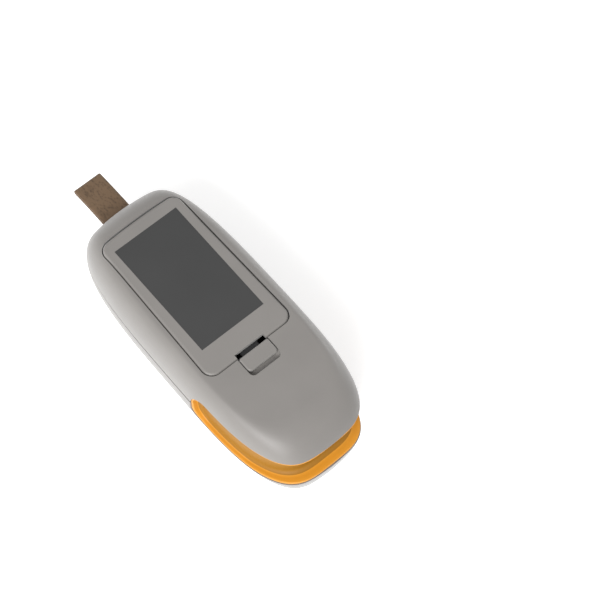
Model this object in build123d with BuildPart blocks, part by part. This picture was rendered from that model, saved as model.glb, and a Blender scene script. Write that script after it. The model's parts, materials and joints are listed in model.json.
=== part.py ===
from build123d import *
from dataclasses import dataclass
from math import asin, atan2, cos, degrees, hypot, pi, radians, sin
import os

os.makedirs("parts", exist_ok=True)

# Hand dynamometer with two squeeze halves: millimetres.
# It is drawn lying level: X across, +Y towards the strap, +Z out of the display, and the
# seam between its halves at Z = 0. RESTING then lays every piece down on the knob and tail.

# ---- driving dimensions ---------------------------------------------------------------

# casing
WIDTH = 60.0
LENGTH = 140.5
WIDEST_Y = -17.7
WALL = 2.2
CLEAR = 0.2
PLAN_POINTS = 36
CROWN_STEPS = 7

# seam between the halves: it opens towards the mouth, to leave room for the squeeze
SEAM_GAP = 0.25
SEAM_ANGLE = 0.62

# orange mouth, as a side view
MOUTH_TIP_Y = -14.0
MOUTH_TOP = 9.8
MOUTH_BOTTOM = -13.4
MOUTH_BEND_Y = -46.0
MOUTH_JAW_BOTTOM = -4.4
MOUTH_CORNER = 8.5
FAR_Y = -90.0
BOOT_SKIN = 1.7
BOOT_SIDE = 4.2
BOOT_JAW = 6.5
BOOT_WALL = 1.5

# display lid
LID_LOW_Y = -17.3
LID_HIGH_Y = 57.4
LID_BOW = 0.8
LID_LOW_HALF = 22.2
LID_HIGH_HALF = 20.3
LID_CORNER = 4.8
LID_THICK = 2.0
LID_GAP = 0.45
LID_EDGE = 1.2
LID_PIVOT_Y = 53.6
LID_PIVOT_DROP = 2.1
LID_PIN_R = 0.6
LID_KNUCKLE_R = 1.2
LID_POST_X = (6.3, 8.7)
WINDOW_WIDE = 32.6
WINDOW_LONG = 57.3
WINDOW_Y = 23.4
NOTCH_HALF = 7.6
NOTCH_Y = -15.2

# latch
TAB_HALF = 7.5
TAB_LOW_Y = -25.1
TAB_HIGH_Y = -18.0
TAB_TOP = 19.0
TAB_NOSE = 2.5
RECESS_HALF = 8.0
RECESS_LOW_Y = -27.5
RECESS_FLOOR = 15.8
LATCH_CORNER = 2.2
BOLT_HALF = 4.4
BOLT_SPAN = (-25.0, -14.6)
BOLT_HEIGHTS = (13.2, 14.7)
NECK_SPAN = (-20.5, -18.5)
LATCH_TRAVEL = 2.0
CHANNEL_ROOM = 0.3

# squeeze hinge and strap
HINGE_Y = 55.0
HINGE_Z = 1.0
HINGE_PIN_R = 1.6
STRAP_BAR_Y = 62.0
STRAP_BAR_R = 1.4
STRAP_END_Y = 93.5
STRAP_WIDE = 14.0
STRAP_THICK = 2.8

# knob and resistance spring, along an axis tilted a little towards the jaw
KNOB_Y = -46.0
KNOB_Z = -32.3
KNOB_TILT = 0.06
KNOB_R = 12.9
KNOB_HIGH = 13.4
KNOB_EDGE = 1.6
RING_OUTER = 15.1
RING_INNER = 13.35
SPINDLE_R = 2.5
NUT_R = 7.4
NUT_TOP = -18.0
NUT_THICK = 4.0
CUP_FACE = -33.0
SPRING_R = 6.0
SPRING_WIRE = 0.9

# frames, cells and boards
CHASSIS_TOP = -2.5
CHASSIS_THICK = 2.5
CHASSIS_HALF = 19.5
FLOOR_LOW = 1.0
FLOOR_HIGH = 2.3
CELL_R = 5.15
CELL_LONG = 44.5
CELL_X = 5.5
CELL_Z = 7.6
BEAM_LOW = 4.0
BEAM_HIGH = 10.0
RUNNING = 0.05


@dataclass(frozen=True)
class Half:
    """How one half of the casing closes in between the seam and its crown."""

    depth: float
    power: float
    side: float
    tail: float
    jaw: float
    way: int


FRONT = Half(depth=18.4, power=2.12, side=7.1, tail=12.8, jaw=20.5, way=1)
BACK = Half(depth=33.3, power=2.25, side=22.6, tail=23.5, jaw=12.3, way=-1)
TAIL_POWERS = (3.45, 5.43)
JAW_POWERS = (2.4, 3.78)

TAIL_REACH = LENGTH / 2 - WIDEST_Y
JAW_REACH = LENGTH / 2 + WIDEST_Y

SEAM = Plane(
    origin=(0, LENGTH / 2, SEAM_GAP),
    z_dir=(0, sin(radians(SEAM_ANGLE)), cos(radians(SEAM_ANGLE))),
)
KNOB = Plane(
    origin=(0, KNOB_Y, KNOB_Z),
    x_dir=(1, 0, 0),
    z_dir=(0, -sin(KNOB_TILT), -cos(KNOB_TILT)),
)
LID_PIVOT_Z = FRONT.depth - LID_PIVOT_DROP
LID_UNDER = FRONT.depth - LID_THICK
LID_POST_Y = (LID_PIVOT_Y - LID_KNUCKLE_R, LID_PIVOT_Y + LID_KNUCKLE_R)


# ---- shared shapes --------------------------------------------------------------------


def plan_point(turn, side, tail, jaw):
    """Point of the plan outline at a turn round it, with each side moved in."""
    bow, flank = TAIL_POWERS if sin(turn) >= 0 else JAW_POWERS
    reach = TAIL_REACH - tail if sin(turn) >= 0 else -(JAW_REACH - jaw)
    across = abs(cos(turn)) ** (2 / flank)
    along = abs(sin(turn)) ** (2 / bow)
    half_width = WIDTH / 2 - side
    return (half_width * across * (1 if cos(turn) >= 0 else -1), WIDEST_Y + reach * along)


def plan_sketch(height, side, tail, jaw):
    """Plan outline of the casing at a height, with each side moved in."""
    # the turns start half a step off the widest point, so that no point falls on a corner
    step = 2 * pi / PLAN_POINTS
    turns = [(i + 0.5) * step for i in range(PLAN_POINTS)]
    with BuildSketch(Plane.XY.offset(height)) as plan:
        with BuildLine():
            Spline(*[plan_point(turn, side, tail, jaw) for turn in turns], periodic=True)
        make_face()
    return plan.sketch


def pebble(half, inset, mode=Mode.ADD):
    """Solid of one half of the casing, moved in from its skin by inset."""
    sections = []
    for i in range(CROWN_STEPS):
        climb = i / (CROWN_STEPS - 1) * pi / 2
        level = sin(climb) ** (2 / half.power)
        close = 1 - max(cos(climb), 0) ** (2 / half.power)
        sections.append(
            plan_sketch(
                half.way * level * (half.depth - inset),
                inset + half.side * close,
                inset + half.tail * close,
                inset + half.jaw * close,
            )
        )
    loft(sections, mode=mode)


def mouth_prism(shrink, mode):
    """The mouth's side view cut right across the casing, smaller all round by shrink."""
    with BuildSketch(Plane.YZ) as profile:
        with BuildLine():
            Polyline(
                (FAR_Y, MOUTH_TOP),
                (MOUTH_TIP_Y, MOUTH_TOP),
                (MOUTH_TIP_Y, MOUTH_BOTTOM),
                (MOUTH_BEND_Y, MOUTH_BOTTOM),
                (FAR_Y, MOUTH_JAW_BOTTOM),
                close=True,
            )
        make_face()
        fillet(profile.vertices().group_by(Axis.X)[-1], MOUTH_CORNER)
        if shrink:
            offset(amount=-shrink, mode=Mode.REPLACE)
    extrude(profile.sketch, amount=WIDTH, both=True, mode=mode)


def lid_sketch(height, grow):
    """Plan of the display lid at a height, grown all round."""
    with BuildSketch(Plane.XY.offset(height)) as plan:
        with BuildLine():
            low = Line((-LID_LOW_HALF, LID_LOW_Y), (LID_LOW_HALF, LID_LOW_Y))
            right = Line(low @ 1, (LID_HIGH_HALF, LID_HIGH_Y))
            crest = (0, LID_HIGH_Y + LID_BOW)
            top = ThreePointArc(right @ 1, crest, (-LID_HIGH_HALF, LID_HIGH_Y))
            Line(top @ 1, low @ 0)
        make_face()
        fillet(plan.vertices(), LID_CORNER)
        if grow:
            offset(amount=grow, mode=Mode.REPLACE)
    return plan.sketch


def block(x_span, y_span, z_span, mode=Mode.ADD):
    """Box between stated lows and highs."""
    with BuildSketch(Plane.XY.offset(z_span[0])) as plan:
        with Locations(((x_span[0] + x_span[1]) / 2, (y_span[0] + y_span[1]) / 2)):
            Rectangle(x_span[1] - x_span[0], y_span[1] - y_span[0])
    extrude(plan.sketch, amount=z_span[1] - z_span[0], mode=mode)


def post(spots, radius, z_low, z_high, mode=Mode.ADD):
    """Upright round posts, or holes, at each of some spots."""
    with BuildSketch(Plane.XY.offset(z_low)) as plan:
        with Locations(*spots):
            Circle(radius)
    extrude(plan.sketch, amount=z_high - z_low, mode=mode)


def cross_rod(centre, radius, x_low, x_high, mode=Mode.ADD):
    """Rod, or bore, that runs along X at a (Y, Z) centre."""
    with BuildSketch(Plane.YZ.offset(x_low)) as end:
        with Locations(centre):
            Circle(radius)
    extrude(end.sketch, amount=x_high - x_low, mode=mode)


def knob_disc(radius, low, high, mode=Mode.ADD):
    """Disc, or bore, on the knob's axis between two heights above its seat."""
    with BuildSketch(KNOB.offset(low)) as end:
        Circle(radius)
    extrude(end.sketch, amount=high - low, mode=mode)


def screw(spots, seat, head, shank, way=1):
    """Pan-head screws: head and shank are (radius, length), heads rise from seat by way."""
    post(spots, head[0], seat, seat + way * head[1])
    post(spots, shank[0], seat, seat - way * shank[1])
    with BuildSketch(Plane.XY.offset(seat + way * head[1])) as socket:
        with Locations(*spots):
            RegularPolygon(head[0] * 0.5, 6)
    extrude(socket.sketch, amount=-way * head[1] * 0.6, mode=Mode.SUBTRACT)


# ---- back half: everything that stays still in the hand ---------------------------------

MARK_PLUS_Y = KNOB_Y + 19.5
BOSS_LOW = 5.0 - BACK.depth
MARK_MINUS_Y = KNOB_Y - 18.6
SHELL_SCREWS = [(x, y) for x in (-17, 17) for y in (-9, 34)]

with BuildPart() as index_marks:
    pebble(BACK, 0)
    pebble(BACK, 0.6, Mode.SUBTRACT)
    with BuildSketch(Plane.XY.offset(-BACK.depth - 1)):
        with Locations((0, MARK_PLUS_Y)):
            with PolarLocations(1.35, 4):
                Ellipse(0.75, 0.5)
        with Locations((0, MARK_MINUS_Y)):
            SlotOverall(3.6, 0.9)
    extrude(amount=BACK.depth / 2, mode=Mode.INTERSECT)
index_marks.part.label = "index_marks"

with BuildPart() as back_shell:
    pebble(BACK, 0)
    pebble(BACK, WALL, Mode.SUBTRACT)
    mouth_prism(0, Mode.SUBTRACT)
    post(SHELL_SCREWS, 3.0, BOSS_LOW, CHASSIS_TOP - CHASSIS_THICK)
    post(SHELL_SCREWS, 1.2, -16, CHASSIS_TOP - CHASSIS_THICK, Mode.SUBTRACT)
    # seat of the knob: a hole for its bush inside a shallow ring-shaped step
    knob_disc(RING_OUTER + CLEAR, -1.2, 8, Mode.SUBTRACT)
    knob_disc(RING_OUTER + CLEAR, -4.0, -1.2)
    knob_disc(4.6, -6, 1, Mode.SUBTRACT)
    # slot in the tail for the strap
    block((-7.3, 7.3), (60, 75), (-1.9, 1), Mode.SUBTRACT)
    add(index_marks.part, mode=Mode.SUBTRACT)
back_shell.part.label = "back_shell"

with BuildPart() as knob_ring:
    pebble(BACK, 0)
    with BuildSketch(KNOB.offset(-1.2)):
        Circle(RING_OUTER)
        Circle(RING_INNER, mode=Mode.SUBTRACT)
    extrude(amount=6, mode=Mode.INTERSECT)
knob_ring.part.label = "knob_ring"

with BuildPart() as groove:
    mouth_prism(BOOT_SKIN, Mode.ADD)
    core = plan_sketch(MOUTH_BOTTOM - 5, BOOT_SIDE, BOOT_SIDE, BOOT_JAW)
    extrude(core, amount=40, mode=Mode.SUBTRACT)

with BuildPart() as mouth_boot:
    pebble(FRONT, 0.35)
    pebble(BACK, 0.35)
    mouth_prism(0.1, Mode.INTERSECT)
    inside = plan_sketch(
        MOUTH_BOTTOM - 5, BOOT_SIDE + BOOT_WALL, BOOT_SIDE + BOOT_WALL, BOOT_JAW + BOOT_WALL
    )
    extrude(inside, amount=40, mode=Mode.SUBTRACT)
    add(groove.part, mode=Mode.SUBTRACT)
mouth_boot.part.label = "mouth_boot"

with BuildPart() as chassis:
    low = CHASSIS_TOP - CHASSIS_THICK
    block((-CHASSIS_HALF, CHASSIS_HALF), (-24, 59.5), (low, CHASSIS_TOP))
    block((-10.4, 10.4), (59.5, 65), (low, CHASSIS_TOP))
    fillet(chassis.edges().filter_by(Axis.Z).group_by(Axis.Y)[0], 4)
    for side in (-1, 1):
        # ears of the squeeze hinge
        ear = sorted((side * 9.1, side * 13.0))
        block(ear, (HINGE_Y - 3.4, HINGE_Y + 3.4), (CHASSIS_TOP, HINGE_Z))
        cross_rod((HINGE_Y, HINGE_Z), 3.4, *ear)
        # ears of the strap's bar
        ear = sorted((side * 8.0, side * 10.4))
        block(ear, (STRAP_BAR_Y - 2.3, STRAP_BAR_Y + 2.3), (CHASSIS_TOP, 0))
        cross_rod((STRAP_BAR_Y, 0), 2.3, *ear)
    cross_rod((HINGE_Y, HINGE_Z), HINGE_PIN_R, -20, 20, Mode.SUBTRACT)
    cross_rod((STRAP_BAR_Y, 0), STRAP_BAR_R, -20, 20, Mode.SUBTRACT)
    # the strap's loop passes through the plate
    block((-7.6, 7.6), (58.6, 70), (low - 1, CHASSIS_TOP + 1), Mode.SUBTRACT)
    post(SHELL_SCREWS, 1.4, low - 1, CHASSIS_TOP + 1, Mode.SUBTRACT)
    post([(x, y) for x in (-10, 10) for y in (-8, 38)], 2.2, -10.4, low)
chassis.part.label = "chassis"

with BuildPart() as shell_screws:
    screw(SHELL_SCREWS, CHASSIS_TOP, (2.3, 1.3), (1.15, 10))
shell_screws.part.label = "shell_screws"

with BuildPart() as main_board:
    block((-13.6, 13.6), (-14, 44), (-12.0, -10.4))
    fillet(main_board.edges().filter_by(Axis.Z), 2)
    block((-5, 5), (8, 18), (-10.4, -9.0))
    block((-11, -6), (24, 30), (-10.4, -9.2))
    block((5, 12), (22, 29), (-13.4, -12.0))
    block((-8, 4), (-6, 2), (-13.0, -12.0))
    block((-4, 4), (36, 42), (-15.5, -12.0))
main_board.part.label = "main_board"

with BuildPart() as hinge_pin:
    cross_rod((HINGE_Y, HINGE_Z), HINGE_PIN_R, -13.6, 13.6)
    chamfer(hinge_pin.edges(), 0.3)
hinge_pin.part.label = "hinge_pin"

with BuildPart() as strap_bar:
    cross_rod((STRAP_BAR_Y, 0), STRAP_BAR_R, -10.4, 10.4)
strap_bar.part.label = "strap_bar"

with BuildPart() as strap:
    cross_rod((STRAP_BAR_Y, 0), STRAP_THICK / 2 + 1.3, -STRAP_WIDE / 2, STRAP_WIDE / 2)
    block(
        (-STRAP_WIDE / 2, STRAP_WIDE / 2),
        (STRAP_BAR_Y, STRAP_END_Y),
        (-STRAP_THICK / 2, STRAP_THICK / 2),
    )
    fillet(strap.edges().filter_by(Axis.X).group_by(Axis.Y)[-1], 1.2)
    cross_rod((STRAP_BAR_Y, 0), STRAP_BAR_R + 0.05, -20, 20, Mode.SUBTRACT)
strap.part.label = "strap"

# ---- resistance knob, nut and spring ----------------------------------------------------

with BuildPart() as spindle_bush:
    knob_disc(4.55, -4.0, -0.4)
    knob_disc(7.0, -5.4, -4.0)
    knob_disc(SPINDLE_R + RUNNING, -6, 1, Mode.SUBTRACT)
spindle_bush.part.label = "spindle_bush"

with BuildPart() as guide_sleeve:
    knob_disc(10.0, -24.0, -4.0)
    knob_disc(NUT_R + 0.3, -25.0, -3.0, Mode.SUBTRACT)
    with BuildSketch(KNOB.offset(-25)):
        Rectangle(22, 3.4)
    extrude(amount=20, mode=Mode.SUBTRACT)
guide_sleeve.part.label = "guide_sleeve"

with BuildPart() as knob_cap:
    knob_disc(KNOB_R, 0.5, KNOB_HIGH)
    fillet(knob_cap.faces().sort_by(Axis.Z)[0].edges(), KNOB_EDGE)
    knob_disc(KNOB_R - 1.8, -1, KNOB_HIGH - 2.0, Mode.SUBTRACT)
    knob_disc(4.4, 0.3, KNOB_HIGH - 1.0)
    knob_disc(SPINDLE_R, -1, KNOB_HIGH - 2.6, Mode.SUBTRACT)
    with BuildSketch(KNOB.offset(KNOB_HIGH - 0.4)):
        with Locations((0, -7)):
            Circle(0.85)
    extrude(amount=2, mode=Mode.SUBTRACT)
knob_cap.part.label = "knob_cap"

with BuildPart() as knob_index:
    with BuildSketch(KNOB.offset(KNOB_HIGH - 0.4)):
        with Locations((0, -7)):
            Circle(0.85)
    extrude(amount=0.4)
knob_index.part.label = "knob_index"

with BuildPart() as spindle:
    knob_disc(SPINDLE_R, -23.0, KNOB_HIGH - 2.6)
    knob_disc(SPINDLE_R + 1, -6.6, -5.9, Mode.SUBTRACT)
    knob_disc(SPINDLE_R - 0.5, -6.6, -5.9)
spindle.part.label = "spindle"

with BuildPart() as retaining_clip:
    knob_disc(4.6, -6.6, -5.9)
    knob_disc(SPINDLE_R - 0.5, -8, -5, Mode.SUBTRACT)
    with BuildSketch(KNOB.offset(-8)):
        with Locations((4, 0)):
            Rectangle(8, 3.0)
    extrude(amount=4, mode=Mode.SUBTRACT)
retaining_clip.part.label = "retaining_clip"

with BuildPart() as tension_nut:
    knob_disc(NUT_R, NUT_TOP, NUT_TOP + NUT_THICK)
    with BuildSketch(KNOB.offset(NUT_TOP)):
        Rectangle(19.2, 3.0)
    extrude(amount=NUT_THICK)
    knob_disc(SPINDLE_R + RUNNING, NUT_TOP - 1, 0, Mode.SUBTRACT)
tension_nut.part.label = "tension_nut"

SPRING_FREE = NUT_TOP - CUP_FACE
with BuildPart() as tension_spring:
    coil = Helix(
        pitch=(SPRING_FREE - 3 * SPRING_WIRE) / 4,
        height=SPRING_FREE - 3 * SPRING_WIRE,
        radius=SPRING_R,
        center=KNOB.from_local_coords((0, 0, CUP_FACE + 1.5 * SPRING_WIRE)),
        direction=KNOB.z_dir,
        mode=Mode.PRIVATE,
    )
    with BuildLine() as coil_line:
        add(coil)
    with BuildSketch(Plane(origin=coil @ 0, z_dir=coil % 0)):
        Circle(SPRING_WIRE)
    sweep(path=coil_line.wires()[0], is_frenet=True)
tension_spring.part.label = "tension_spring"

# ---- front half: moves a little towards the back half when squeezed -----------------------

FRAME_SCREWS = [(x, y) for x in (-22.5, 22.5) for y in (0, 38)]
BEAM_SCREWS = [(0, -6.5), (0, -12.5)]

RECESS_HIGH_Y = -17.0

with BuildPart() as latch_recess:
    # its low end is scooped, so that the tab's nose nests in it
    with BuildSketch(Plane.YZ) as scoop:
        with BuildLine():
            Polyline(
                (RECESS_LOW_Y, RECESS_FLOOR),
                (RECESS_HIGH_Y, RECESS_FLOOR),
                (RECESS_HIGH_Y, RECESS_FLOOR + 9),
                (RECESS_LOW_Y, RECESS_FLOOR + 9),
                close=True,
            )
        make_face()
        fillet(scoop.vertices().group_by(Axis.Y)[0].sort_by(Axis.X)[0], TAB_NOSE)
    extrude(amount=RECESS_HALF, both=True)
    fillet(latch_recess.edges().filter_by(Axis.Z).group_by(Axis.Y)[0], LATCH_CORNER)

with BuildPart() as front_shell:
    pebble(FRONT, 0)
    pebble(FRONT, WALL, Mode.SUBTRACT)
    split(bisect_by=SEAM, keep=Keep.TOP)
    mouth_prism(0, Mode.SUBTRACT)
    # body of the latch's seat, and the sill that closes the gap below the lid's notch
    block((-10.5, 10.5), (-33.5, RECESS_HIGH_Y), (12.4, 16.8))
    block((-10.5, 10.5), (RECESS_HIGH_Y, -11.5), (12.0, 12.8))
    extrude(lid_sketch(9, LID_GAP), amount=15, mode=Mode.SUBTRACT)
    add(latch_recess.part, mode=Mode.SUBTRACT)
    # channel of the latch's bolt and spring, and the slot that its neck runs in
    channel = (-BOLT_HALF - CHANNEL_ROOM, BOLT_HALF + CHANNEL_ROOM)
    under, over = BOLT_HEIGHTS[0] - 0.2, BOLT_HEIGHTS[1] + 0.2
    block(channel, (-32.4, RECESS_HIGH_Y), (under, over), Mode.SUBTRACT)
    neck_low = NECK_SPAN[0] - LATCH_TRAVEL - CHANNEL_ROOM
    block(channel, (neck_low, RECESS_HIGH_Y), (over - 1, RECESS_FLOOR + 0.2), Mode.SUBTRACT)
    # bosses for the frame's screws, each with a web to the wall
    post(FRAME_SCREWS, 2.4, FLOOR_HIGH, 12)
    for y, wall_x in ((0, 28.0), (38, 27.0)):
        for side in (-1, 1):
            web = sorted((side * 22.5, side * wall_x))
            block(web, (y - 0.8, y + 0.8), (FLOOR_HIGH, 10))
    post(FRAME_SCREWS, 1.1, 0, 10, Mode.SUBTRACT)
    block((-7.3, 7.3), (60, 75), (-1, 1.9), Mode.SUBTRACT)
front_shell.part.label = "front_shell"

with BuildPart() as front_frame:
    block((-13.6, 13.6), (-18, 49.4), (FLOOR_LOW, FLOOR_HIGH))
    block((-8.7, 8.7), (49, HINGE_Y), (FLOOR_LOW, FLOOR_HIGH))
    for y in (0, 38):
        block((-25, 25), (y - 3.5, y + 3.5), (FLOOR_LOW, FLOOR_HIGH))
    post(FRAME_SCREWS, 1.3, 0, 5, Mode.SUBTRACT)
    # walls of the battery tray
    block((-12.8, 12.8), (-2.2, 49.4), (FLOOR_HIGH, 10.5))
    block((-11.6, 11.6), (-1.0, 48.0), (FLOOR_HIGH, 10.6), Mode.SUBTRACT)
    # pad for the fixed end of the force beam
    block((-6.5, 6.5), (-16, -3.2), (FLOOR_HIGH, BEAM_LOW))
    post(BEAM_SCREWS, 1.3, 0, 5, Mode.SUBTRACT)
    # lug of the squeeze hinge
    cross_rod((HINGE_Y, HINGE_Z), 3.2, -8.7, 8.7)
    # posts that carry the lid's pivot
    for side in (-1, 1):
        span = sorted(side * x for x in LID_POST_X)
        block(span, LID_POST_Y, (FLOOR_LOW, LID_PIVOT_Z))
        cross_rod((LID_PIVOT_Y, LID_PIVOT_Z), LID_KNUCKLE_R, *span)
    cross_rod((HINGE_Y, HINGE_Z), HINGE_PIN_R + RUNNING, -20, 20, Mode.SUBTRACT)
    cross_rod((LID_PIVOT_Y, LID_PIVOT_Z), LID_PIN_R, -20, 20, Mode.SUBTRACT)
front_frame.part.label = "front_frame"

with BuildPart() as frame_screws:
    screw(FRAME_SCREWS, FLOOR_LOW, (2.1, 1.2), (1.05, 8), way=-1)
frame_screws.part.label = "frame_screws"

with BuildPart() as force_beam:
    block((-6, 6), (-54, -3.5), (BEAM_LOW, BEAM_HIGH))
    chamfer(force_beam.edges().filter_by(Axis.X), 0.4)
    # the two linked holes that make the beam bend where its gauges sit
    middle = (BEAM_LOW + BEAM_HIGH) / 2
    for y in (-23, -31):
        cross_rod((y, middle), 2.3, -10, 10, Mode.SUBTRACT)
    block((-10, 10), (-31, -23), (middle - 0.5, middle + 0.5), Mode.SUBTRACT)
    post(BEAM_SCREWS, 1.3, 0, 15, Mode.SUBTRACT)
force_beam.part.label = "force_beam"

with BuildPart() as beam_screws:
    screw(BEAM_SCREWS, BEAM_HIGH, (2.3, 1.6), (1.2, 8.4))
beam_screws.part.label = "beam_screws"

with BuildPart() as spring_cup:
    knob_disc(7.4, CUP_FACE - 8, CUP_FACE)
    knob_disc(4.2, CUP_FACE, CUP_FACE + 2.0)
    split(bisect_by=Plane.XY.offset(BEAM_LOW), keep=Keep.BOTTOM)
spring_cup.part.label = "spring_cup"

with BuildPart() as battery_cells:
    with BuildSketch(Plane.XZ.offset(-1.2)):
        with Locations((-CELL_X, CELL_Z), (CELL_X, CELL_Z)):
            Circle(CELL_R)
    extrude(amount=-CELL_LONG + 0.9)
    fillet(battery_cells.edges().filter_by(GeomType.CIRCLE), 0.5)
    with BuildSketch(Plane.XZ.offset(-1.2)):
        with Locations((-CELL_X, CELL_Z)):
            Circle(1.9)
    extrude(amount=0.9)
    with BuildSketch(Plane.XZ.offset(-1.2 - CELL_LONG + 0.9)):
        with Locations((CELL_X, CELL_Z)):
            Circle(1.9)
    extrude(amount=-0.9)
battery_cells.part.label = "battery_cells"

with BuildPart() as battery_contacts:
    for x in (-CELL_X, CELL_X):
        block((x - 4, x + 4), (-1.0, -0.6), (CELL_Z - 4, CELL_Z + 2.5))
        block((x - 4, x + 4), (47.6, 48.0), (CELL_Z - 4, CELL_Z + 2.5))
    # dished springs that press on each cell's flat end
    with BuildSketch(Plane.XZ.offset(0.6)):
        with Locations((CELL_X, CELL_Z - 0.8)):
            Circle(2.6)
    extrude(amount=-1.7)
    with BuildSketch(Plane.XZ.offset(-47.6)):
        with Locations((-CELL_X, CELL_Z - 0.8)):
            Circle(2.6)
    extrude(amount=1.8)
battery_contacts.part.label = "battery_contacts"

# ---- display lid --------------------------------------------------------------------------

LID_TRAY = ((-19.2, 19.2), (-14.2, 52.2))

with BuildPart() as display_bezel:
    extrude(lid_sketch(LID_UNDER, 0), amount=LID_THICK)
    fillet(display_bezel.faces().sort_by(Axis.Z)[-1].edges(), LID_EDGE)
    with BuildSketch(Plane.XY.offset(LID_UNDER - 1)):
        with Locations((0, WINDOW_Y)):
            Rectangle(WINDOW_WIDE, WINDOW_LONG)
    extrude(amount=LID_THICK + 2, mode=Mode.SUBTRACT)
    # notch over the latch's tongue
    block((-NOTCH_HALF, NOTCH_HALF), (LID_LOW_Y - 5, NOTCH_Y), (10, 25), Mode.SUBTRACT)
    # pivot knuckle, and the room that the frame's posts swing through
    room = LID_KNUCKLE_R + CLEAR
    for side in (-1, 1):
        span = sorted((side * (LID_POST_X[0] - CLEAR), side * (LID_POST_X[1] + CLEAR)))
        cross_rod((LID_PIVOT_Y, LID_PIVOT_Z), room, *span, Mode.SUBTRACT)
        block(span, (LID_PIVOT_Y, 60), (LID_UNDER - 1, LID_PIVOT_Z + room), Mode.SUBTRACT)
    cross_rod((LID_PIVOT_Y, LID_PIVOT_Z), LID_KNUCKLE_R, -6, 6)
    block((-6, 6), LID_POST_Y, (LID_PIVOT_Z, LID_UNDER + 0.2))
    cross_rod((LID_PIVOT_Y, LID_PIVOT_Z), LID_PIN_R + RUNNING, -20, 20, Mode.SUBTRACT)
display_bezel.part.label = "display_bezel"

with BuildPart() as display_glass:
    with BuildSketch(Plane.XY.offset(LID_UNDER + 0.3)):
        with Locations((0, WINDOW_Y)):
            Rectangle(WINDOW_WIDE, WINDOW_LONG)
    extrude(amount=LID_THICK - 0.4)
display_glass.part.label = "display_glass"

with BuildPart() as display_panel:
    block((-17.2, 17.2), (-5.6, 51.0), (14.9, LID_UNDER))
display_panel.part.label = "display_panel"

with BuildPart() as display_board:
    block((-18.1, 18.1), (-13.0, 51.0), (13.7, 14.7))
    block((-9, 9), (-11.5, -7.0), (14.7, 16.0))
display_board.part.label = "display_board"

with BuildPart() as lid_tray:
    block(*LID_TRAY, (13.0, LID_UNDER))
    fillet(lid_tray.edges().filter_by(Axis.Z), 1.5)
    block((-18.2, 18.2), (-13.2, 51.2), (13.6, LID_UNDER + 1), Mode.SUBTRACT)
lid_tray.part.label = "lid_tray"

with BuildPart() as lid_pin:
    cross_rod((LID_PIVOT_Y, LID_PIVOT_Z), LID_PIN_R, -LID_POST_X[1], LID_POST_X[1])
lid_pin.part.label = "lid_pin"

# ---- latch ----------------------------------------------------------------------------------

with BuildPart() as latch_tab:
    with BuildSketch(Plane.YZ) as nose:
        with BuildLine():
            Polyline(
                (TAB_LOW_Y, RECESS_FLOOR + 0.1),
                (TAB_HIGH_Y, RECESS_FLOOR + 0.1),
                (TAB_HIGH_Y, TAB_TOP),
                (TAB_LOW_Y, TAB_TOP),
                close=True,
            )
        make_face()
        fillet(nose.vertices().group_by(Axis.Y)[0].sort_by(Axis.X)[0], TAB_NOSE)
    extrude(amount=TAB_HALF, both=True)
    fillet(latch_tab.edges().filter_by(Axis.Z).group_by(Axis.Y)[-1], 0.8)
    fillet(latch_tab.edges().filter_by(Axis.Z).group_by(Axis.Y)[0], LATCH_CORNER - 0.6)
    fillet(latch_tab.faces().sort_by(Axis.Z)[-1].edges(), 0.5)
latch_tab.part.label = "latch_tab"

# bolt under the tab: its neck stands up into the tab's underside
with BuildPart() as latch_bolt:
    block((-BOLT_HALF, BOLT_HALF), BOLT_SPAN, BOLT_HEIGHTS)
    block((-BOLT_HALF, BOLT_HALF), NECK_SPAN, (BOLT_HEIGHTS[1], RECESS_FLOOR + 0.1))
latch_bolt.part.label = "latch_bolt"

with BuildPart() as latch_spring:
    latch_coil = Helix(
        pitch=1.3,
        height=6.5,
        radius=0.7,
        center=(0, -25.3, 13.95),
        direction=(0, -1, 0),
        mode=Mode.PRIVATE,
    )
    with BuildLine() as latch_line:
        add(latch_coil)
    with BuildSketch(Plane(origin=latch_coil @ 0, z_dir=latch_coil % 0)):
        Circle(0.18)
    sweep(path=latch_line.wires()[0], is_frenet=True)
latch_spring.part.label = "latch_spring"

# ---- resting place and files ------------------------------------------------------------------

PIECES = [
    back_shell,
    knob_ring,
    index_marks,
    mouth_boot,
    chassis,
    shell_screws,
    main_board,
    hinge_pin,
    strap_bar,
    strap,
    spindle_bush,
    guide_sleeve,
    tension_spring,
    front_shell,
    front_frame,
    frame_screws,
    force_beam,
    beam_screws,
    spring_cup,
    battery_cells,
    battery_contacts,
    latch_spring,
    lid_pin,
    display_bezel,
    display_glass,
    display_panel,
    display_board,
    lid_tray,
    latch_tab,
    latch_bolt,
    knob_cap,
    knob_index,
    spindle,
    retaining_clip,
    tension_nut,
]

# Lying down, the object rests on the knob's rim and on the curve of the back shell's tail.
RIM = KNOB.from_local_coords((0, KNOB_EDGE - KNOB_R, KNOB_HIGH - KNOB_EDGE))


def tail_point(climb):
    """Point (Y, Z) of the back shell's middle line, at a climb of 0 (seam) to 90 (crown)."""
    inward = 1 - cos(radians(climb)) ** (2 / BACK.power)
    level = sin(radians(climb)) ** (2 / BACK.power)
    return LENGTH / 2 - BACK.tail * inward, -BACK.depth * level


def lean_to(climb):
    """Lean, in degrees, that would bring this tail point level with the knob's rim."""
    y, z = tail_point(climb)
    run, rise = y - RIM.Y, z - RIM.Z
    return degrees(atan2(rise, run) + asin(KNOB_EDGE / hypot(run, rise)))


LEAN = min(lean_to(climb) for climb in range(60, 90))
TILTED = Location((0, 0, 0), (-LEAN, 0, 0))
span = Compound(children=[piece.part.moved(TILTED) for piece in PIECES]).bounding_box()
RESTING = Location((0, -(span.min.Y + span.max.Y) / 2, -span.min.Z)) * TILTED

for piece in PIECES:
    piece.part.locate(RESTING)
    export_step(piece.part, f"parts/{piece.part.label}.step")
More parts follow.
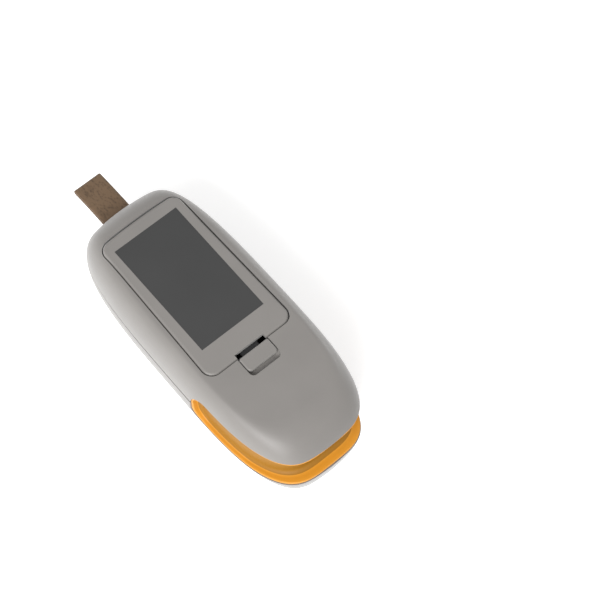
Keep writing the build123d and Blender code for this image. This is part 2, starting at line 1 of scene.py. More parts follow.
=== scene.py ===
"""Looks of the squeeze dynamometer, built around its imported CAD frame.

Sizes of pieces are in millimetres in the device's own level frame: X across, Y towards the
strap, Z out of the display, with the seam between the halves at Z = 0. Lie turns them into
metres in the frame's own resting place.
"""

import json
import logging
from dataclasses import dataclass
from enum import Enum
from math import asin, atan2, cos, pi, radians, sin, sqrt

import bmesh
import bpy
from mathutils import Matrix, Vector

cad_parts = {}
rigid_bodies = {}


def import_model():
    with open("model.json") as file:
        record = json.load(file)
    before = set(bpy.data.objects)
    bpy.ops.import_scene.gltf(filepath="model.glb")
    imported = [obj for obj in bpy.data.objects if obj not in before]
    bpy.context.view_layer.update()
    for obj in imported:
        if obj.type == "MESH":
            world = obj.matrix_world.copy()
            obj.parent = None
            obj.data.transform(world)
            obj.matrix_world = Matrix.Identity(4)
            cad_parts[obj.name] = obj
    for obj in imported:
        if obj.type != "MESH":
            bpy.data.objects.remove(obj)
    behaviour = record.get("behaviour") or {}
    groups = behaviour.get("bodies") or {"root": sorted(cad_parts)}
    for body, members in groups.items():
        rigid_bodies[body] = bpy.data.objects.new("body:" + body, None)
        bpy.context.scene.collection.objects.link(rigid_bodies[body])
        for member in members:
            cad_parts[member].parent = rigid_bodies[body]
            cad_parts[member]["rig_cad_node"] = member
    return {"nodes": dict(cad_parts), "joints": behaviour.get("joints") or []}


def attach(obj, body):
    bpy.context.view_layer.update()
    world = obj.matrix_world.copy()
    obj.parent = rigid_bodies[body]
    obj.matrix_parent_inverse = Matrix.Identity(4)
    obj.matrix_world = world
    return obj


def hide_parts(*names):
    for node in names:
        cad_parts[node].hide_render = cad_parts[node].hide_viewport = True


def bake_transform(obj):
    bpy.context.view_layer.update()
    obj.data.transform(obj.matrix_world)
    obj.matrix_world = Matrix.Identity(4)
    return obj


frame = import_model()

log = logging.getLogger("dynamometer")

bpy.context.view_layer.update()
MM = 0.001
Point = tuple[float, float, float]
Socket = bpy.types.NodeSocket


# ---- frame ---------------------------------------------------------------------------------


class Body(Enum):
    """Bodies of the frame that new pieces ride on."""

    BACK = "back_half"
    FRONT = "front_half"
    LATCH = "latch"


class Slot(Enum):
    """Material slots of the record."""

    SHELL = "shell"
    MARK = "mark"
    BOOT = "boot"
    SCREEN = "screen"
    PANEL = "panel"
    BOARD = "board"
    FRAME = "frame"
    STEEL = "steel"
    SPRING = "spring"
    BRASS = "brass"
    BEAM = "beam"
    CELL = "cell"
    LEATHER = "leather"


def joint(name: str) -> dict:
    """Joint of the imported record.

    Args:
        name: the joint's name.

    Returns:
        The joint's entry, with its axis and place.
    """
    return next(entry for entry in frame["joints"] if entry["name"] == name)


@dataclass(frozen=True)
class Lie:
    """How the level device lies at rest, read from two of its joints."""

    hinge_y: float = 55.0
    hinge_z: float = 1.0
    knob_tilt: float = 0.06

    @property
    def lean(self) -> float:
        """Turn about X from the level device to its resting place, in radians."""
        axis = joint("knob_turn")["axis"]
        return self.knob_tilt - atan2(-axis[1], -axis[2])

    def turned(self, y: float, z: float) -> tuple[float, float]:
        """Level Y and Z, leaned as the device leans at rest."""
        lean = self.lean
        return y * cos(lean) - z * sin(lean), y * sin(lean) + z * cos(lean)

    def point(self, x: float, y: float, z: float) -> Vector:
        """Place at rest of a point of the level device.

        Args:
            x: across, in millimetres.
            y: towards the strap, in millimetres.
            z: out of the display, in millimetres.

        Returns:
            The point in metres in the frame.
        """
        hinge = Vector(joint("squeeze")["pos_m"])
        along, up = self.turned(y - self.hinge_y, z - self.hinge_z)
        return hinge + Vector((x, along, up)) * MM


LIE = Lie()


def mesh_object(name: str, points: list[Point], faces: list[tuple[int, ...]]) -> bpy.types.Object:
    """Closed, smooth-shaded mesh from points of the level device.

    Args:
        name: the piece's name.
        points: its points, in millimetres in the level device.
        faces: its faces, as indices of the points.

    Returns:
        The new object, linked to the scene.
    """
    mesh = bpy.data.meshes.new(name)
    mesh.from_pydata([LIE.point(*p) for p in points], [], faces)
    builder = bmesh.new()
    builder.from_mesh(mesh)
    bmesh.ops.recalc_face_normals(builder, faces=builder.faces)
    builder.to_mesh(mesh)
    builder.free()
    mesh.shade_smooth()
    piece = bpy.data.objects.new(name, mesh)
    bpy.context.scene.collection.objects.link(piece)
    return piece


# ---- finishes --------------------------------------------------------------------------------


class Graph:
    """Node tree of one material, with a short call for each node it needs."""

    def __init__(self, name: str) -> None:
        """Start a material whose surface is one principled shader.

        Args:
            name: the material's name.
        """
        self.material = bpy.data.materials.new(name)
        self.material.use_nodes = True
        self.tree = self.material.node_tree
        self.shader = self.tree.nodes["Principled BSDF"]
        self.place = self.tree.nodes.new("ShaderNodeTexCoord").outputs["Object"]

    def link(self, source: Socket, target: Socket) -> None:
        """Join an output to an input."""
        self.tree.links.new(source, target)

    def stretched(self, scale: Point) -> Socket:
        """Object coordinates, scaled on their own along each axis."""
        mapping = self.tree.nodes.new("ShaderNodeMapping")
        mapping.inputs["Scale"].default_value = scale
        self.link(self.place, mapping.inputs["Vector"])
        return mapping.outputs["Vector"]

    def noise(self, size: float, detail: float = 3.0, place: Socket | None = None) -> Socket:
        """Cloudy pattern.

        Args:
            size: width of one cloud, in millimetres.
            detail: how many finer layers it has.
            place: coordinates, the object's own where none are given.

        Returns:
            The pattern's output, 0 to 1.
        """
        node = self.tree.nodes.new("ShaderNodeTexNoise")
        node.inputs["Scale"].default_value = 1 / (size * MM)
        node.inputs["Detail"].default_value = detail
        self.link(place or self.place, node.inputs["Vector"])
        return node.outputs["Fac"]

    def cells(self, size: float, place: Socket | None = None) -> Socket:
        """Pebbled pattern: distance to the nearest of scattered points.

        Args:
            size: width of one cell, in millimetres.
            place: coordinates, the object's own where none are given.

        Returns:
            The pattern's output.
        """
        node = self.tree.nodes.new("ShaderNodeTexVoronoi")
        node.inputs["Scale"].default_value = 1 / (size * MM)
        self.link(place or self.place, node.inputs["Vector"])
        return node.outputs["Distance"]

    def spread(self, value: Socket, low: float, high: float) -> Socket:
        """Value from 0.3 to 0.7 spread over low to high."""
        node = self.tree.nodes.new("ShaderNodeMapRange")
        node.inputs["From Min"].default_value = 0.3
        node.inputs["From Max"].default_value = 0.7
        node.inputs["To Min"].default_value = low
        node.inputs["To Max"].default_value = high
        self.link(value, node.inputs["Value"])
        return node.outputs["Result"]

    def mixed(self, value: Socket, low: Point, high: Point) -> Socket:
        """Colour that goes from low to high with a value.

        Args:
            value: the value, about 0.3 to 0.7.
            low: linear colour at low values.
            high: linear colour at high values.

        Returns:
            The colour's output.
        """
        node = self.tree.nodes.new("ShaderNodeValToRGB")
        ramp = node.color_ramp
        ramp.elements[0].position = 0.3
        ramp.elements[0].color = (*low, 1)
        ramp.elements[1].position = 0.7
        ramp.elements[1].color = (*high, 1)
        self.link(value, node.inputs["Fac"])
        return node.outputs["Color"]

    def bump(self, height: Socket, depth: float, under: Socket | None = None) -> Socket:
        """Relief from a pattern.

        Args:
            height: the pattern.
            depth: relief from its lowest to its highest, in millimetres.
            under: a coarser relief that this one lies on.

        Returns:
            The normal's output.
        """
        node = self.tree.nodes.new("ShaderNodeBump")
        node.inputs["Strength"].default_value = 1.0
        node.inputs["Distance"].default_value = depth * MM
        self.link(height, node.inputs["Height"])
        if under is not None:
            self.link(under, node.inputs["Normal"])
        return node.outputs["Normal"]

    def plain(self, **values: float | tuple[float, ...]) -> None:
        """Set the shader's own sockets; an underscore in a name stands for a space."""
        for name, value in values.items():
            self.shader.inputs[name.replace("_", " ")].default_value = value


@dataclass(frozen=True)
class Moulded:
    """Moulded plastic or rubber with a fine, even grain."""

    name: str
    colour: Point
    rough: float
    vary: float = 0.03
    grain: float = 0.35
    relief: float = 0.012
    specular: float = 0.4
    sheen: float = 0.0

    def material(self) -> bpy.types.Material:
        """Material of this finish."""
        graph = Graph(self.name)
        cloud = graph.noise(18.0, 2.0)
        low = tuple(c * (1 - self.vary) for c in self.colour)
        high = tuple(c * (1 + self.vary) for c in self.colour)
        graph.link(graph.mixed(cloud, low, high), graph.shader.inputs["Base Color"])
        fine = graph.noise(self.grain, 2.0)
        graph.link(
            graph.spread(fine, self.rough - 0.05, self.rough + 0.05),
            graph.shader.inputs["Roughness"],
        )
        coarse = graph.bump(graph.noise(self.grain * 4, 1.0), self.relief * 0.5)
        graph.link(graph.bump(fine, self.relief, coarse), graph.shader.inputs["Normal"])
        graph.plain(Specular_IOR_Level=self.specular, Sheen_Weight=self.sheen)
        return graph.material


@dataclass(frozen=True)
class Glazing:
    """Dark cover glass with a faint matte coat."""

    name: str
    colour: Point
    rough: float = 0.42

    def material(self) -> bpy.types.Material:
        """Material of this finish."""
        graph = Graph(self.name)
        haze = graph.noise(25.0, 2.0)
        low = tuple(c * 0.96 for c in self.colour)
        high = tuple(c * 1.04 for c in self.colour)
        graph.link(graph.mixed(haze, low, high), graph.shader.inputs["Base Color"])
        etch = graph.noise(0.12, 1.0)
        graph.link(
            graph.spread(etch, self.rough - 0.03, self.rough + 0.03),
            graph.shader.inputs["Roughness"],
        )
        graph.link(graph.bump(etch, 0.001), graph.shader.inputs["Normal"])
        graph.plain(Specular_IOR_Level=0.35)
        return graph.material


@dataclass(frozen=True)
class Metal:
    """Metal with drawn or turned marks that run along one way."""

    name: str
    colour: Point
    rough: float
    marks: Point = (1.0, 12.0, 12.0)

    def material(self) -> bpy.types.Material:
        """Material of this finish."""
        graph = Graph(self.name)
        drawn = graph.noise(2.4, 3.0, graph.stretched(self.marks))
        low = tuple(c * 0.9 for c in self.colour)
        graph.link(graph.mixed(drawn, low, self.colour), graph.shader.inputs["Base Color"])
        graph.link(
            graph.spread(drawn, self.rough - 0.08, self.rough + 0.08),
            graph.shader.inputs["Roughness"],
        )
        graph.link(graph.bump(drawn, 0.004), graph.shader.inputs["Normal"])
        graph.plain(Metallic=1.0)
        return graph.material


@dataclass(frozen=True)
class Laminate:
    """Circuit board: solder mask over faint copper runs."""

    name: str = "solder_mask"
    mask: Point = (0.012, 0.11, 0.045)
    copper: Point = (0.03, 0.2, 0.08)

    def material(self) -> bpy.types.Material:
        """Material of this finish."""
        graph = Graph(self.name)
        node = graph.tree.nodes.new("ShaderNodeTexBrick")
        node.inputs["Scale"].default_value = 1 / (9 * MM)
        node.inputs["Mortar Size"].default_value = 0.03
        node.inputs["Color1"].default_value = (*self.mask, 1)
        node.inputs["Color2"].default_value = (*self.mask, 1)
        node.inputs["Mortar"].default_value = (*self.copper, 1)
        graph.link(graph.place, node.inputs["Vector"])
        graph.link(node.outputs["Color"], graph.shader.inputs["Base Color"])
        graph.link(graph.bump(node.outputs["Fac"], 0.02), graph.shader.inputs["Normal"])
        graph.link(
            graph.spread(graph.noise(1.0), 0.28, 0.4), graph.shader.inputs["Roughness"]
        )
        return graph.material


@dataclass(frozen=True)
class Hide:
    """Vegetable-tanned leather: pebbled grain, darker in its creases."""

    name: str = "tanned_leather"
    crease: Point = (0.05, 0.03, 0.016)
    crown: Point = (0.125, 0.078, 0.044)
    rough: float = 0.62

    def material(self) -> bpy.types.Material:
        """Material of this finish."""
        graph = Graph(self.name)
        warped = graph.stretched((1.0, 0.6, 1.0))
        pebbles = graph.cells(0.9, warped)
        mottle = graph.noise(2.2, 6.0, graph.stretched((1.6, 0.5, 1.0)))
        both = graph.tree.nodes.new("ShaderNodeMath")
        both.operation = "MULTIPLY_ADD"
        both.inputs[1].default_value = 0.35
        graph.link(pebbles, both.inputs[0])
        graph.link(mottle, both.inputs[2])
        graph.link(
            graph.mixed(both.outputs["Value"], self.crease, self.crown),
            graph.shader.inputs["Base Color"],
        )
        graph.link(
            graph.spread(mottle, self.rough - 0.08, self.rough + 0.08),
            graph.shader.inputs["Roughness"],
        )
        wrinkles = graph.bump(mottle, 0.12)
        graph.link(graph.bump(pebbles, 0.05, wrinkles), graph.shader.inputs["Normal"])
        graph.plain(Specular_IOR_Level=0.3, Sheen_Weight=0.1)
        return graph.material


FINISHES = {
    Slot.SHELL: Moulded("warm_grey_shell", (0.172, 0.162, 0.152), 0.5, specular=0.5, sheen=0.25),
    Slot.MARK: Moulded("dark_inlay", (0.028, 0.026, 0.025), 0.5),
    Slot.BOOT: Moulded("orange_elastomer", (0.55, 0.235, 0.018), 0.5, relief=0.006),
    Slot.SCREEN: Glazing("cover_glass", (0.038, 0.038, 0.038)),
    Slot.PANEL: Moulded("black_module", (0.012, 0.012, 0.012), 0.35),
    Slot.BOARD: Laminate(),
    Slot.FRAME: Moulded("filled_nylon", (0.03, 0.03, 0.031), 0.55, grain=0.6, relief=0.02),
    Slot.STEEL: Metal("plated_steel", (0.58, 0.58, 0.59), 0.3),
    Slot.SPRING: Metal("spring_wire", (0.42, 0.42, 0.44), 0.35),
    Slot.BRASS: Metal("turned_brass", (0.66, 0.44, 0.14), 0.28),
    Slot.BEAM: Metal("machined_aluminium", (0.72, 0.72, 0.73), 0.32),
    Slot.CELL: Moulded("cell_sleeve", (0.05, 0.05, 0.06), 0.3, grain=1.0, relief=0.004),
    Slot.LEATHER: Hide(),
}

# Darker orange for the groove's wall and most of its curve: painted shade for the shadow in the deep
# groove. The rubber itself is one orange.
PAINTED_SHADE_ORANGE = Moulded("orange_painted_shade", (0.27, 0.124, 0.01), 0.6, specular=0.3, relief=0.01)


class Wardrobe:
    """The materials, made once and put on pieces by slot."""

    def __init__(self) -> None:
        """Make the material of every slot, and the darker orange that paints shade into the boot's
        groove.
        """
        self.materials = {slot: finish.material() for slot, finish in FINISHES.items()}
        self.painted_shade = PAINTED_SHADE_ORANGE.material()

    def dress(self, piece: bpy.types.Object, slot: Slot) -> None:
        """Give a piece one slot's material all over.

        Args:
            piece: the piece, new or from the frame.
            slot: the slot it takes its finish from.
        """
        piece.data.materials.clear()
        piece.data.materials.append(self.materials[slot])
        log.info("%s: %s", piece.name, slot.value)

    def dress_nodes(self, slot: Slot, *names: str) -> None:
        """Give nodes of the frame one slot's material."""
        for name in names:
            self.dress(frame["nodes"][name], slot)


# ---- casing ----------------------------------------------------------------------------------


@dataclass(frozen=True)
class Half:
    """How one half of the casing closes in between the seam and its crown."""

    depth: float
    power: float
    side: float
    tail: float
    jaw: float

    def close(self, height: float) -> float:
        """How far the half has closed in at a height, 0 at the seam to 1 at the crown."""
        level = min(abs(height) / self.depth, 1.0)
        return 1 - (1 - level**self.power) ** (1 / self.power)


@dataclass(frozen=True)
class Inset:
    """How far an outline is moved in at its sides, tail and jaw."""

    side: float
    tail: float
    jaw: float

    def towards(self, other: "Inset", share: float) -> "Inset":
        """Inset part of the way from this one to another.

        Args:
            other: the inset at a share of 1.
            share: how far to go, 0 to 1.

        Returns:
            The inset between.
        """
        return Inset(
            self.side + (other.side - self.side) * share,
            self.tail + (other.tail - self.tail) * share,
            self.jaw + (other.jaw - self.jaw) * share,
        )


@dataclass(frozen=True)
class Casing:
    """Outer form of the two halves."""

    width: float = 60.0
    length: float = 140.5
    widest_y: float = -17.7
    tail_powers: tuple[float, float] = (3.45, 5.43)
    jaw_powers: tuple[float, float] = (2.4, 3.78)
    front: Half = Half(18.4, 2.12, 7.1, 12.8, 20.5)
    back: Half = Half(33.3, 2.25, 22.6, 23.5, 12.3)

    def skin(self, height: float, inset: float) -> Inset:
        """Inset of the skin at a height, moved in a little more.

        Args:
            height: above the seam, or below it where it is less than 0.
            inset: how far inside the skin.

        Returns:
            The inset from the seam's outline.
        """
        half = self.front if height >= 0 else self.back
        shut = half.close(height)
        return Inset(
            inset + half.side * shut, inset + half.tail * shut, inset + half.jaw * shut
        )

    def outline(self, turn: float, inset: Inset) -> tuple[float, float]:
        """Point of the outline at a turn round it, from the +X side towards the strap."""
        bow, flank = self.tail_powers if sin(turn) >= 0 else self.jaw_powers
        across = (self.width / 2 - inset.side) * abs(cos(turn)) ** (2 / flank)
        along = self.reach(turn >= 0, inset) * abs(sin(turn)) ** (2 / bow)
        return across if cos(turn) >= 0 else -across, self.widest_y + along

    def reach(self, tail: bool, inset: Inset) -> float:
        """Signed length from the widest place to the tail or to the jaw."""
        if tail:
            return self.length / 2 - self.widest_y - inset.tail
        return inset.jaw - self.length / 2 - self.widest_y

    def turn_at(self, y: float, inset: Inset) -> float:
        """Turn at which the outline passes a place along the casing, on the +X side."""
        tail = y >= self.widest_y
        bow = (self.tail_powers if tail else self.jaw_powers)[0]
        share = (y - self.widest_y) / self.reach(tail, inset)
        turn = asin(min(max(share, 0.0), 1.0) ** (bow / 2))
        return turn if tail else -turn


@dataclass(frozen=True)
class Ring:
    """One ring of the mouth boot: how much smaller and how much deeper than the mouth."""

    shrink: float
    inset: float = 0.0
    share: float = 0.0
    behind: float = 0.0


@dataclass(frozen=True)
class MouthBoot:
    """Orange elastomer channel that closes the mouth between the two halves."""

    casing: Casing = Casing()
    tip_y: float = -14.0
    top: float = 9.8
    bottom: float = -13.4
    bend_y: float = -46.0
    far_y: float = -90.0
    far_bottom: float = -4.4
    corner: float = 8.5
    fit: float = 0.1
    skin: float = 1.7
    upper_share: float = 0.55
    lip_back: tuple[float, ...] = (1.3, 0.6)
    lip_outer: tuple[tuple[float, float], ...] = ((0.08, 0.42), (0.3, 0.35))
    lip_inner: tuple[tuple[float, float], ...] = ((0.5, 0.35), (0.2, 0.42), (0.05, 0.6))
    ledge_deep: float = 0.9
    ledge_shares: tuple[float, ...] = (0.0, 0.2, 0.4)
    wall_side: float = 4.2
    wall_jaw: float = 6.5
    wall_thick: float = 1.5
    hollow: float = 2.4
    corner_steps: int = 9
    side_steps: int = 44
    tip_steps: int = 5
    hollow_steps: int = 5
    settle_steps: int = 6
    blend_from: float = 3.0
    blend_to: float = 2.0

    def lip(self, shrink: float, upper: bool) -> float:
        """Shrink at one edge: less at the display side, whose lip is narrower."""
        return shrink * self.upper_share if upper else shrink

    def edge(self, y: float, shrink: float, upper: bool) -> float:
        """Height of the mouth's edge at a place along the casing.

        Args:
            y: the place.
            shrink: how much smaller than the mouth, all round.
            upper: whether it is the edge at the display side.

        Returns:
            The height above the seam.
        """
        shrink = self.lip(shrink, upper)
        radius = self.corner - shrink
        run = min(max(0.0, y - self.tip_y + self.corner), radius)
        drop = radius - sqrt(radius**2 - run**2)
        if upper:
            return self.top - shrink - drop
        slope = (self.far_bottom - self.bottom) / (self.far_y - self.bend_y)
        return self.bottom + min(0.0, y - self.bend_y) * slope + shrink + drop

    def inset_at(self, height: float, ring: Ring) -> Inset:
        """Inset of a ring at a height: the skin's, or part of the way to the wall's."""
        wall = Inset(
            self.wall_side + ring.behind,
            self.wall_side + ring.behind,
            self.wall_jaw + ring.behind,
        )
        return self.casing.skin(height, ring.inset).towards(wall, ring.share)

    def side(self, ring: Ring, upper: bool) -> list[Point]:
        """Points of a ring's edge along the +X side, from the mouth's tip to the jaw."""
        points = []
        radius = self.corner - self.lip(ring.shrink, upper)
        for i in range(self.corner_steps):
            bend = pi / 2 * (1 - i / self.corner_steps)
            y = self.tip_y - self.corner + radius * sin(bend)
            z = self.edge(y, ring.shrink, upper)
            inset = self.inset_at(z, ring)
            points.append((self.casing.outline(self.casing.turn_at(y, inset), inset)[0], y, z))
        y = self.tip_y - self.corner
        first = self.casing.turn_at(y, self.inset_at(self.edge(y, ring.shrink, upper), ring))
        for i in range(self.side_steps + 1):
            turn = first + (-pi / 2 - first) * i / self.side_steps
            x, y, z = 0.0, self.bend_y, 0.0
            for _ in range(self.settle_steps):
                z = self.edge(y, ring.shrink, upper)
                x, y = self.casing.outline(turn, self.inset_at(z, ring))
            points.append((x, y, z))
        return points

    def edges(self, ring: Ring) -> tuple[list[Point], list[Point]]:
        """Upper and lower edge of a ring, each from the +X tip round the jaw to the -X tip."""
        whole = []
        for upper in (True, False):
            near = self.side(ring, upper)
            far = [(-x, y, z) for x, y, z in reversed(near[:-1])]
            whole.append(near + far)
        return whole[0], whole[1]

    def columns(self, ring: Ring) -> list[list[Point]]:
        """Grid of points over a ring: its rows go from the upper edge to the lower one."""
        upper, lower = self.edges(ring)
        rows = []
        for i in range(self.tip_steps + 2):
            share = i / (self.tip_steps + 1)
            row = []
            for a, b in zip(upper, lower):
                row.append(tuple(p + (q - p) * share for p, q in zip(a, b)))
            rows.append(row)
        return rows

    def rings(self) -> list[Ring]:
        """The rings from behind the lips, over the rounded skin and into the groove."""
        skin = self.skin
        rings = [Ring(self.fit, share=1.0, behind=self.wall_thick)]
        rings += [Ring(self.fit, deep) for deep in self.lip_back]
        rings += [Ring(self.fit + far, deep) for far, deep in self.lip_outer]
        rings += [Ring(skin - far, deep) for far, deep in self.lip_inner]
        rings += [Ring(skin, self.ledge_deep, share) for share in self.ledge_shares]
        reach = self.hollow / self.wall_side
        for i in range(self.hollow_steps + 1):
            bend = pi / 2 * i / self.hollow_steps
            share = 1 - reach * (1 - sin(bend))
            shrink = skin + self.hollow * (1 - cos(bend))
            rings.append(Ring(shrink, self.ledge_deep, share))
        return rings

    def build(self) -> bpy.types.Object:
        """Boot as one closed mesh, from the rings and two grids that close them."""
        rings = self.rings()
        points: list[Point] = []
        grids: list[tuple[int, ...]] = []
        loops = []
        for index, ring in enumerate(rings):
            grid = self.columns(ring)
            whole = index in (0, len(rings) - 1)
            keys = {}
            for r, row in enumerate(grid):
                for c, point in enumerate(row):
                    rim = r in (0, len(grid) - 1) or c in (0, len(row) - 1)
                    if whole or rim:
                        keys[r, c] = len(points)
                        points.append(point)
            last_row, last_column = len(grid) - 1, len(grid[0]) - 1
            loop = [keys[0, c] for c in range(last_column)]
            loop += [keys[r, last_column] for r in range(last_row)]
            loop += [keys[last_row, c] for c in range(last_column, 0, -1)]
            loop += [keys[r, 0] for r in range(last_row, 0, -1)]
            loops.append(loop)
            if whole:
                for r in range(last_row):
                    for c in range(last_column):
                        grids.append((keys[r, c], keys[r, c + 1], keys[r + 1, c + 1], keys[r + 1, c]))
        half = len(grids) // 2
        faces = grids[:half]
        for near, far in zip(loops, loops[1:]):
            for i in range(len(near)):
                j = (i + 1) % len(near)
                faces.append((near[i], near[j], far[j], far[i]))
        return mesh_object("mouth_channel", points, faces + grids[half:])

    def painted_shade_face_count(self) -> int:
        """How many of the last faces lie on the groove's wall and on most of its curve, where shade
        is painted.
        """
        columns = 2 * (self.corner_steps + self.side_steps)
        rows = self.tip_steps + 1
        return columns * rows + (self.hollow_steps - 1) * 2 * (columns + rows)

    def fit_to(self, wardrobe: Wardrobe) -> bpy.types.Object:
        """Build the boot, dress it, and hide the frame's boot node that it stands in for."""
        boot = self.build()
        wardrobe.dress(boot, Slot.BOOT)
        boot.data.materials.append(wardrobe.painted_shade)
        # The groove's wall and most of its curve take the darker orange: painted shade.
        wall = boot.data.polygons[-self.painted_shade_face_count() :]
        for face in wall:
            face.material_index = 1
        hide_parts("mouth_boot")
        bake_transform(boot)
        return boot


@dataclass(frozen=True)
class Strap:
    """Leather band, looped round the bar inside the tail and folded at its free end."""

    bar_y: float = 62.0
    bar_ring: float = 2.075
    end_y: float = 93.5
    wide: float = 14.0
    thick: float = 1.2
    apart: float = 0.8
    meet_y: float = 68.0
    sag_from: float = 74.0
    sag: float = 1.2
    edge: float = 0.35
    round_across: float = 0.75
    round_up: float = 0.7
    leave: float = 75.0
    steps: int = 26
    fold_steps: int = 8
    ring_steps: int = 12
    wide_steps: int = 8

    def droop(self, y: float) -> float:
        """How far the free end has sunk at a place along it."""
        share = max(0.0, (y - self.sag_from) / (self.end_y - self.sag_from))
        return -self.sag * share**2

    def path(self) -> list[tuple[float, float]]:
        """Middle line of the band as (Y, Z), once round from the bar and back."""
        fold_y = self.end_y - self.thick / 2 - self.apart
        line = []
        for i in range(self.steps + 1):
            y = self.meet_y + (fold_y - self.meet_y) * i / self.steps
            line.append((y, self.apart))
        for i in range(1, self.fold_steps):
            turn = pi / 2 - pi * i / self.fold_steps
            line.append((fold_y + self.apart * cos(turn), self.apart * sin(turn)))
        for i in range(self.steps + 1):
            y = fold_y + (self.meet_y - fold_y) * i / self.steps
            line.append((y, -self.apart))
        leave = radians(self.leave)
        for i in range(self.ring_steps + 1):
            turn = -leave - (2 * pi - 2 * leave) * i / self.ring_steps
            line.append((self.bar_y + self.bar_ring * cos(turn), self.bar_ring * sin(turn)))
        return [(y, z + self.droop(y)) for y, z in line]

    def section(self) -> list[tuple[float, float]]:
        """Section of the band as (X, out of the band), with rounded edges."""
        flat, half = self.wide / 2 - self.edge, self.thick / 2
        across = [flat * (2 * i / self.wide_steps - 1) for i in range(self.wide_steps + 1)]
        top = [(x, half) for x in across]
        bottom = [(x, -half) for x in reversed(across)]
        round_x, round_out = flat + self.edge * self.round_across, half * self.round_up
        right = [(round_x, round_out), (flat + self.edge, 0.0), (round_x, -round_out)]
        left = [(-x, -out) for x, out in right]
        return top + right + bottom + left

    def build(self) -> bpy.types.Object:
        """Band as one closed ring of its section."""
        line, section = self.path(), self.section()
        points: list[Point] = []
        for i, (y, z) in enumerate(line):
            back, ahead = line[i - 1], line[(i + 1) % len(line)]
            way = Vector((ahead[0] - back[0], ahead[1] - back[1])).normalized()
            for x, out in section:
                points.append((x, y - way.y * out, z + way.x * out))
        count = len(section)
        faces = []
        for i in range(len(line)):
            j = (i + 1) % len(line)
            for k in range(count):
                m = (k + 1) % count
                faces.append((i * count + k, i * count + m, j * count + m, j * count + k))
        return mesh_object("wrist_band", points, faces)

    def length(self) -> float:
        """Length of the band's middle line, once round, in metres."""
        line = self.path()
        total = 0.0
        for i, here in enumerate(line):
            total += (Vector(line[(i + 1) % len(line)]) - Vector(here)).length
        return total * MM

    def fit_to(self, wardrobe: Wardrobe) -> bpy.types.Object:
        """Build the band, dress it and hang it on the back half."""
        band = self.build()
        wardrobe.dress(band, Slot.LEATHER)
        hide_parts("strap")
        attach(band, Body.BACK.value)
        self.length()
        return band


# ---- springs ---------------------------------------------------------------------------------


@dataclass(frozen=True)
class Coil:
    """Wire spring of the frame, taken over from its node."""

    node: str
    near: Body
    far: Body
    along: str

    def fit_to(self, wardrobe: Wardrobe) -> bpy.types.Object:
        """Take over the node's wire as a copy, dress it and hide the node."""
        node = frame["nodes"][self.node]
        coil = bpy.data.objects.new(f"{self.node}_wire", node.data.copy())
        coil.matrix_world = node.matrix_world.copy()
        bpy.context.scene.collection.objects.link(coil)
        wardrobe.dress(coil, Slot.SPRING)
        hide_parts(self.node)
        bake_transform(coil)
        return coil


# ---- studio ----------------------------------------------------------------------------------


@dataclass(frozen=True)
class Lamp:
    """Soft box, placed by where it stands as seen from the object."""

    name: str
    azimuth: float
    elevation: float
    away: float
    size: float
    watts: float


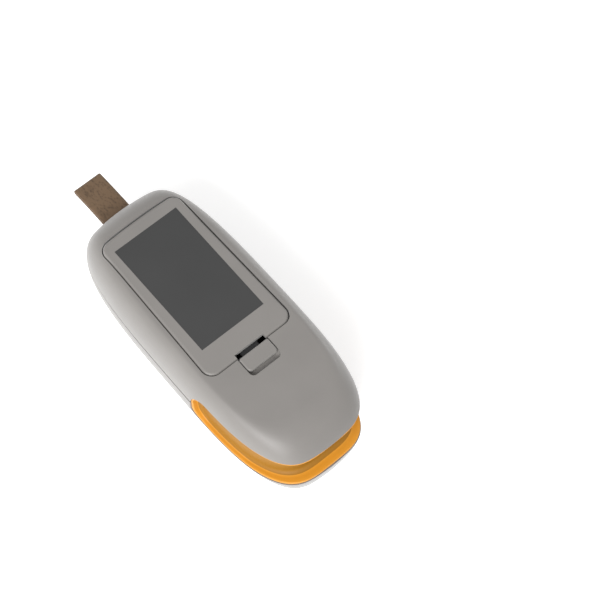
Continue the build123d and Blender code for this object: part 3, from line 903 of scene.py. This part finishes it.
@dataclass(frozen=True)
class Studio:
    """Floor, soft lights and camera."""

    azimuth: float = 62.471
    elevation: float = 71.075
    roll: float = 23.845
    lens: float = 129.545
    away: float = 0.9095
    target: Point = (0.0352, -0.0179, 0.040)
    middle: Point = (0.0, 0.0, 0.03)
    floor_half: float = 2.5
    floor_glow: float = 0.32
    sky: float = 0.62
    lamps: tuple[Lamp, ...] = (
        Lamp("key", -112, 44, 1.0, 0.6, 13.5),
        Lamp("rim", 80, 8, 1.0, 0.3, 3.0),
        Lamp("top", -20, 80, 1.2, 1.0, 1.0),
    )

    def towards(self, azimuth: float, elevation: float) -> Vector:
        """Unit vector at an azimuth from +Y towards +X and an elevation, in degrees."""
        a, e = radians(azimuth), radians(elevation)
        return Vector((sin(a) * cos(e), cos(a) * cos(e), sin(e)))

    def camera(self) -> bpy.types.Object:
        """Camera that looks at the target from above, turned about its own line of sight."""
        ahead = self.towards(self.azimuth, -self.elevation)
        level = ahead.cross(Vector((0, 0, 1))).normalized()
        up = level.cross(ahead)
        turn = radians(self.roll)
        right = level * cos(turn) + up * sin(turn)
        top = right.cross(ahead)
        data = bpy.data.cameras.new("camera")
        data.lens = self.lens
        data.clip_end = 10.0
        camera = bpy.data.objects.new("camera", data)
        place = Vector(self.target) - ahead * self.away
        axes = Matrix((right, top, -ahead)).transposed()
        camera.matrix_world = Matrix.Translation(place) @ axes.to_4x4()
        bpy.context.scene.collection.objects.link(camera)
        bpy.context.scene.camera = camera
        return camera

    def floor(self) -> bpy.types.Object:
        """Plain pale floor."""
        half = self.floor_half
        corners = [(-half, -half, 0), (half, -half, 0), (half, half, 0), (-half, half, 0)]
        mesh = bpy.data.meshes.new("floor")
        mesh.from_pydata(corners, [], [(0, 1, 2, 3)])
        floor = bpy.data.objects.new("floor", mesh)
        bpy.context.scene.collection.objects.link(floor)
        graph = Graph("pale_floor")
        cloud = graph.noise(300.0, 1.0)
        colour = graph.mixed(cloud, (0.93, 0.93, 0.93), (0.95, 0.95, 0.95))
        graph.link(colour, graph.shader.inputs["Base Color"])
        graph.plain(Roughness=0.9, Specular_IOR_Level=0.1, Emission_Strength=self.floor_glow)
        graph.plain(Emission_Color=(1, 1, 1, 1))
        mesh.materials.append(graph.material)
        return floor

    def light(self) -> None:
        """Pale sky and the soft boxes."""
        world = bpy.data.worlds.new("sky")
        world.use_nodes = True
        background = world.node_tree.nodes["Background"]
        background.inputs["Color"].default_value = (1, 1, 1, 1)
        background.inputs["Strength"].default_value = self.sky
        bpy.context.scene.world = world
        for lamp in self.lamps:
            data = bpy.data.lights.new(lamp.name, "AREA")
            data.size = lamp.size
            data.energy = lamp.watts
            box = bpy.data.objects.new(lamp.name, data)
            way = self.towards(lamp.azimuth, lamp.elevation)
            box.location = Vector(self.middle) + way * lamp.away
            box.rotation_euler = way.to_track_quat("Z", "Y").to_euler()
            bpy.context.scene.collection.objects.link(box)
            log.info("%s light: %.0f W", lamp.name, lamp.watts)
        view = bpy.context.scene.view_settings
        view.view_transform = "Standard"
        view.look = "None"


# ---- whole object ------------------------------------------------------------------------------


def main() -> None:
    """Build and dress every piece, and light it."""
    logging.basicConfig(level=logging.INFO, format="%(name)s %(message)s")
    studio = Studio()
    studio.camera()
    studio.floor()
    studio.light()
    wardrobe = Wardrobe()
    wardrobe.dress_nodes(Slot.SHELL, "back_shell", "front_shell", "knob_ring", "knob_cap")
    wardrobe.dress_nodes(Slot.SHELL, "display_bezel", "latch_tab")
    wardrobe.dress_nodes(Slot.MARK, "index_marks", "knob_index")
    wardrobe.dress_nodes(Slot.SCREEN, "display_glass")
    wardrobe.dress_nodes(Slot.PANEL, "display_panel")
    wardrobe.dress_nodes(Slot.BOARD, "main_board", "display_board")
    wardrobe.dress_nodes(Slot.FRAME, "chassis", "front_frame", "lid_tray", "guide_sleeve")
    wardrobe.dress_nodes(Slot.FRAME, "latch_bolt")
    wardrobe.dress_nodes(Slot.STEEL, "shell_screws", "hinge_pin", "strap_bar", "frame_screws")
    wardrobe.dress_nodes(Slot.STEEL, "beam_screws", "lid_pin", "spindle", "retaining_clip")
    wardrobe.dress_nodes(Slot.STEEL, "battery_contacts", "spring_cup")
    Coil("tension_spring", Body.BACK, Body.FRONT, "knob_turn").fit_to(wardrobe)
    Coil("latch_spring", Body.FRONT, Body.LATCH, "latch_slide").fit_to(wardrobe)
    wardrobe.dress_nodes(Slot.BRASS, "spindle_bush", "tension_nut")
    wardrobe.dress_nodes(Slot.BEAM, "force_beam")
    wardrobe.dress_nodes(Slot.CELL, "battery_cells")
    MouthBoot().fit_to(wardrobe)
    Strap().fit_to(wardrobe)


if __name__ == "__main__":
    main()
